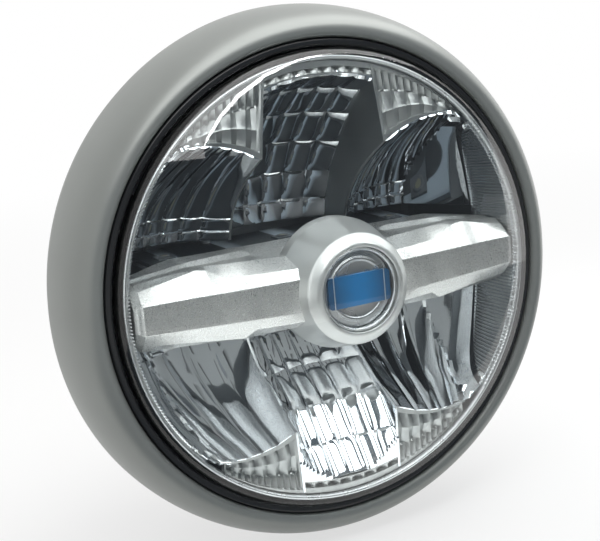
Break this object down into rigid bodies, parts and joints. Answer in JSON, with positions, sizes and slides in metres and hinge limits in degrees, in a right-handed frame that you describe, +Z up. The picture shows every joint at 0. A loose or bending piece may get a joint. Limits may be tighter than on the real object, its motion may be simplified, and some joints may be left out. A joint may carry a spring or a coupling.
{
  "type": "motorcycle headlight",
  "caption": "Round motorcycle headlight: domed clear lens in a painted rim, faceted chrome reflectors, a crossbar with a plain badge, and a finned rear housing.",
  "frame": {"origin": "centre of the four mounting bosses, on the lamp's optical axis, in the plane of their rear faces", "axes": "+Y points backwards out of the mounting bosses, -Y is the way the lamp shines, +Z is up, +X is to the right of someone who looks at the lamp"},
  "size_m": [0.2032, 0.1188, 0.2032],
  "materials": {
    "rim_paint": "satin silver grey",
    "seal_rubber": "smooth black",
    "clear_lens": "clear",
    "bright_chrome": "mirror",
    "trim_chrome": "bright",
    "satin_silver": "satin",
    "badge_blue": "gloss blue",
    "cast_aluminium": "fine cast",
    "housing_black": "matte",
    "circuit_board": "solder mask",
    "emitter": "phosphor",
    "part_grey": "moulded",
    "screw_steel": "zinc plated",
    "insert_brass": "plain",
    "thermal_rubber": "soft grey"
  },
  "bodies": {
    "root": {"rim": "rim_paint", "rim_gasket": "seal_rubber", "rim_screws": "screw_steel", "lens": "clear_lens", "lens_seal": "seal_rubber", "trim_ring": "trim_chrome", "left_flutes": "trim_chrome", "right_flutes": "trim_chrome", "upper_reflector": "bright_chrome", "lower_reflector": "bright_chrome", "reflector_screws": "screw_steel", "crossbar": "satin_silver", "crossbar_screws": "screw_steel", "hub_ring": "satin_silver", "badge_ring": "trim_chrome", "badge_disc": "trim_chrome", "badge_plate": "badge_blue", "led_carrier": "cast_aluminium", "upper_led_board": "circuit_board", "lower_led_board": "circuit_board", "upper_leds": "emitter", "lower_leds": "emitter", "board_screws": "screw_steel", "rear_housing": "housing_black", "mount_inserts": "insert_brass", "thermal_pad": "thermal_rubber", "heat_sink": "cast_aluminium", "heat_sink_seal": "seal_rubber", "heat_sink_screws": "screw_steel", "carrier_screws": "screw_steel", "driver_board": "circuit_board", "driver_parts": "part_grey", "driver_screws": "screw_steel", "socket_body": "housing_black", "socket_pins": "insert_brass", "socket_seal": "seal_rubber", "socket_screws": "screw_steel", "vent_cap": "housing_black"}
  },
  "joints": []
}
